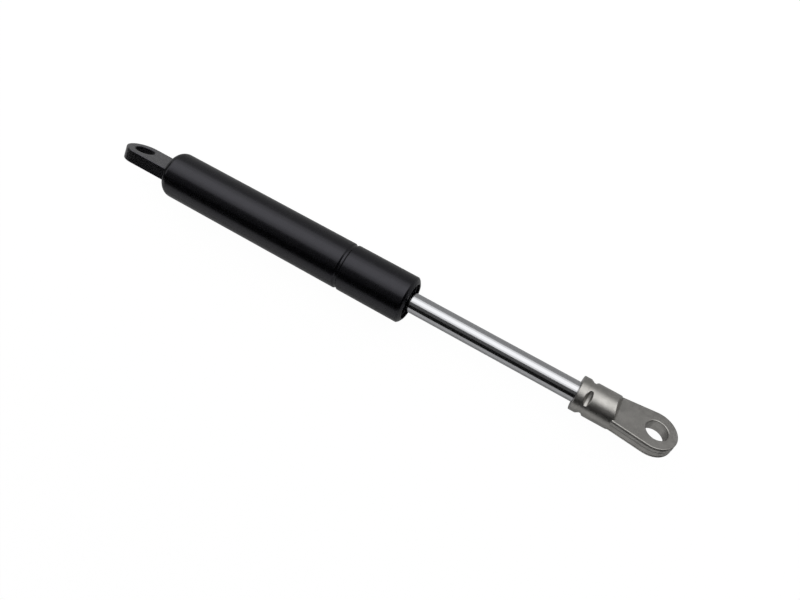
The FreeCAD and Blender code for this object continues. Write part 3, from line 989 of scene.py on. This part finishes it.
def table_finish():
    material = bpy.data.materials.new("white_table")
    material.use_nodes = True
    tree = material.node_tree
    tree.nodes.remove(tree.nodes["Principled BSDF"])
    paper = node(tree, "BsdfDiffuse", Color=PAPER)
    white = node(tree, "Emission", Color=WHITE, Strength=TABLE_GLOW)
    ray = node(tree, "LightPath").outputs
    seen = calculated(tree, "MAXIMUM", ray["Is Camera Ray"], ray["Is Transmission Ray"])
    seen_share = calculated(tree, "MULTIPLY", seen, SEEN_SHARE)
    mirrored_share = calculated(tree, "MULTIPLY", ray["Is Glossy Ray"], MIRRORED_SHARE)
    share = calculated(tree, "MAXIMUM", seen_share, mirrored_share)
    mix = node(tree, "MixShader")
    for socket, source in zip(mix.inputs, (share, paper.outputs[0], white.outputs[0])):
        tree.links.new(source, socket)
    tree.links.new(mix.outputs[0], tree.nodes["Material Output"].inputs["Surface"])
    return material


far = TABLE_REACH
table = add_object("table", flat_mesh("table", [
    (-far, -far, floor_z), (far, -far, floor_z), (far, far, floor_z), (-far, far, floor_z)]))
table.data.materials.append(table_finish())

world = bpy.data.worlds.new("studio")
world.use_nodes = True
world.node_tree.nodes["Background"].inputs["Color"].default_value = WHITE
world.node_tree.nodes["Background"].inputs["Strength"].default_value = 1.0
bpy.context.scene.world = world
print("table at", round(floor_z / MM, 2), "mm")

# %% [markdown]
# Lamps and cards are placed by their angle around the strut: 0 degrees is the +Y side, 90 is up.
# An area lamp's energy is its brightness times pi times its area, so brightness 1 is white paper.

# %% Place lamps and cards
MIDDLE_X = (low("base_eye").x + high("rod_eye").x) / 2 * MM
BLACK_CARD_TONE = 0.01


def facing_strut(angle, distance):
    """A place beside the strut and the rotation that faces its axis."""
    outward = Vector((0, math.cos(math.radians(angle)), math.sin(math.radians(angle))))
    turn = (-outward).to_track_quat("-Z", "Y")
    return Vector((MIDDLE_X, 0, 0)) + outward * distance, turn


def soft_box(name, start, end, distance, length, brightness):
    """A lamp that spans from one angle to another, seen from the strut."""
    width = 2 * distance * math.tan(math.radians((end - start) / 2))
    data = bpy.data.lights.new(name, "AREA")
    data.shape = "RECTANGLE"
    data.size = length
    data.size_y = width
    data.energy = brightness * math.pi * length * width
    lamp = add_object(name, data)
    lamp.rotation_mode = "QUATERNION"
    lamp.location, lamp.rotation_quaternion = facing_strut((start + end) / 2, distance)
    print(name, "energy", round(data.energy, 2))


def staged_board(name, corners, tone, glow):
    """A matt board that mirrors and lights the strut, hidden from the camera."""
    board = add_object(name, flat_mesh(name, corners))
    material, _, _ = new_finish(name, Roughness=0.9, Base_Color=(tone, tone, tone, 1),
                                Emission_Color=WHITE, Emission_Strength=glow)
    board.data.materials.append(material)
    board.visible_camera = False
    return board


def card(name, start, end, distance, length, tone, glow):
    """A board along the strut that spans from one angle to another."""
    half_w = distance * math.tan(math.radians((end - start) / 2))
    half_l = length / 2
    board = staged_board(name, [
        (-half_l, -half_w, 0), (half_l, -half_w, 0), (half_l, half_w, 0), (-half_l, half_w, 0),
    ], tone, glow)
    board.rotation_mode = "QUATERNION"
    board.location, board.rotation_quaternion = facing_strut((start + end) / 2, distance)


def end_card(name, x, high_z, length):
    """A black board across the strut's line, beyond one of its ends."""
    half_l = length / 2
    staged_board(name, [
        (x, -half_l, 0), (x, half_l, 0), (x, half_l, high_z), (x, -half_l, high_z),
    ], BLACK_CARD_TONE, 0.0)


soft_box("wide_box", 4, 63, 0.60, 1.5, 0.14)
soft_box("bright_box", 18, 53, 0.52, 1.3, 0.50)
card("shade_card", 70, 102, 0.50, 1.6, 0.05, 0.08)
card("black_card", 100, 141, 0.52, 2.4, BLACK_CARD_TONE, 0.0)
card("grey_card", 139, 183, 0.62, 1.8, 0.2, 0.40)
end_card("rod_end_card", 0.75, 0.62, 1.0)
end_card("base_end_card", -0.60, 0.25, 0.7)
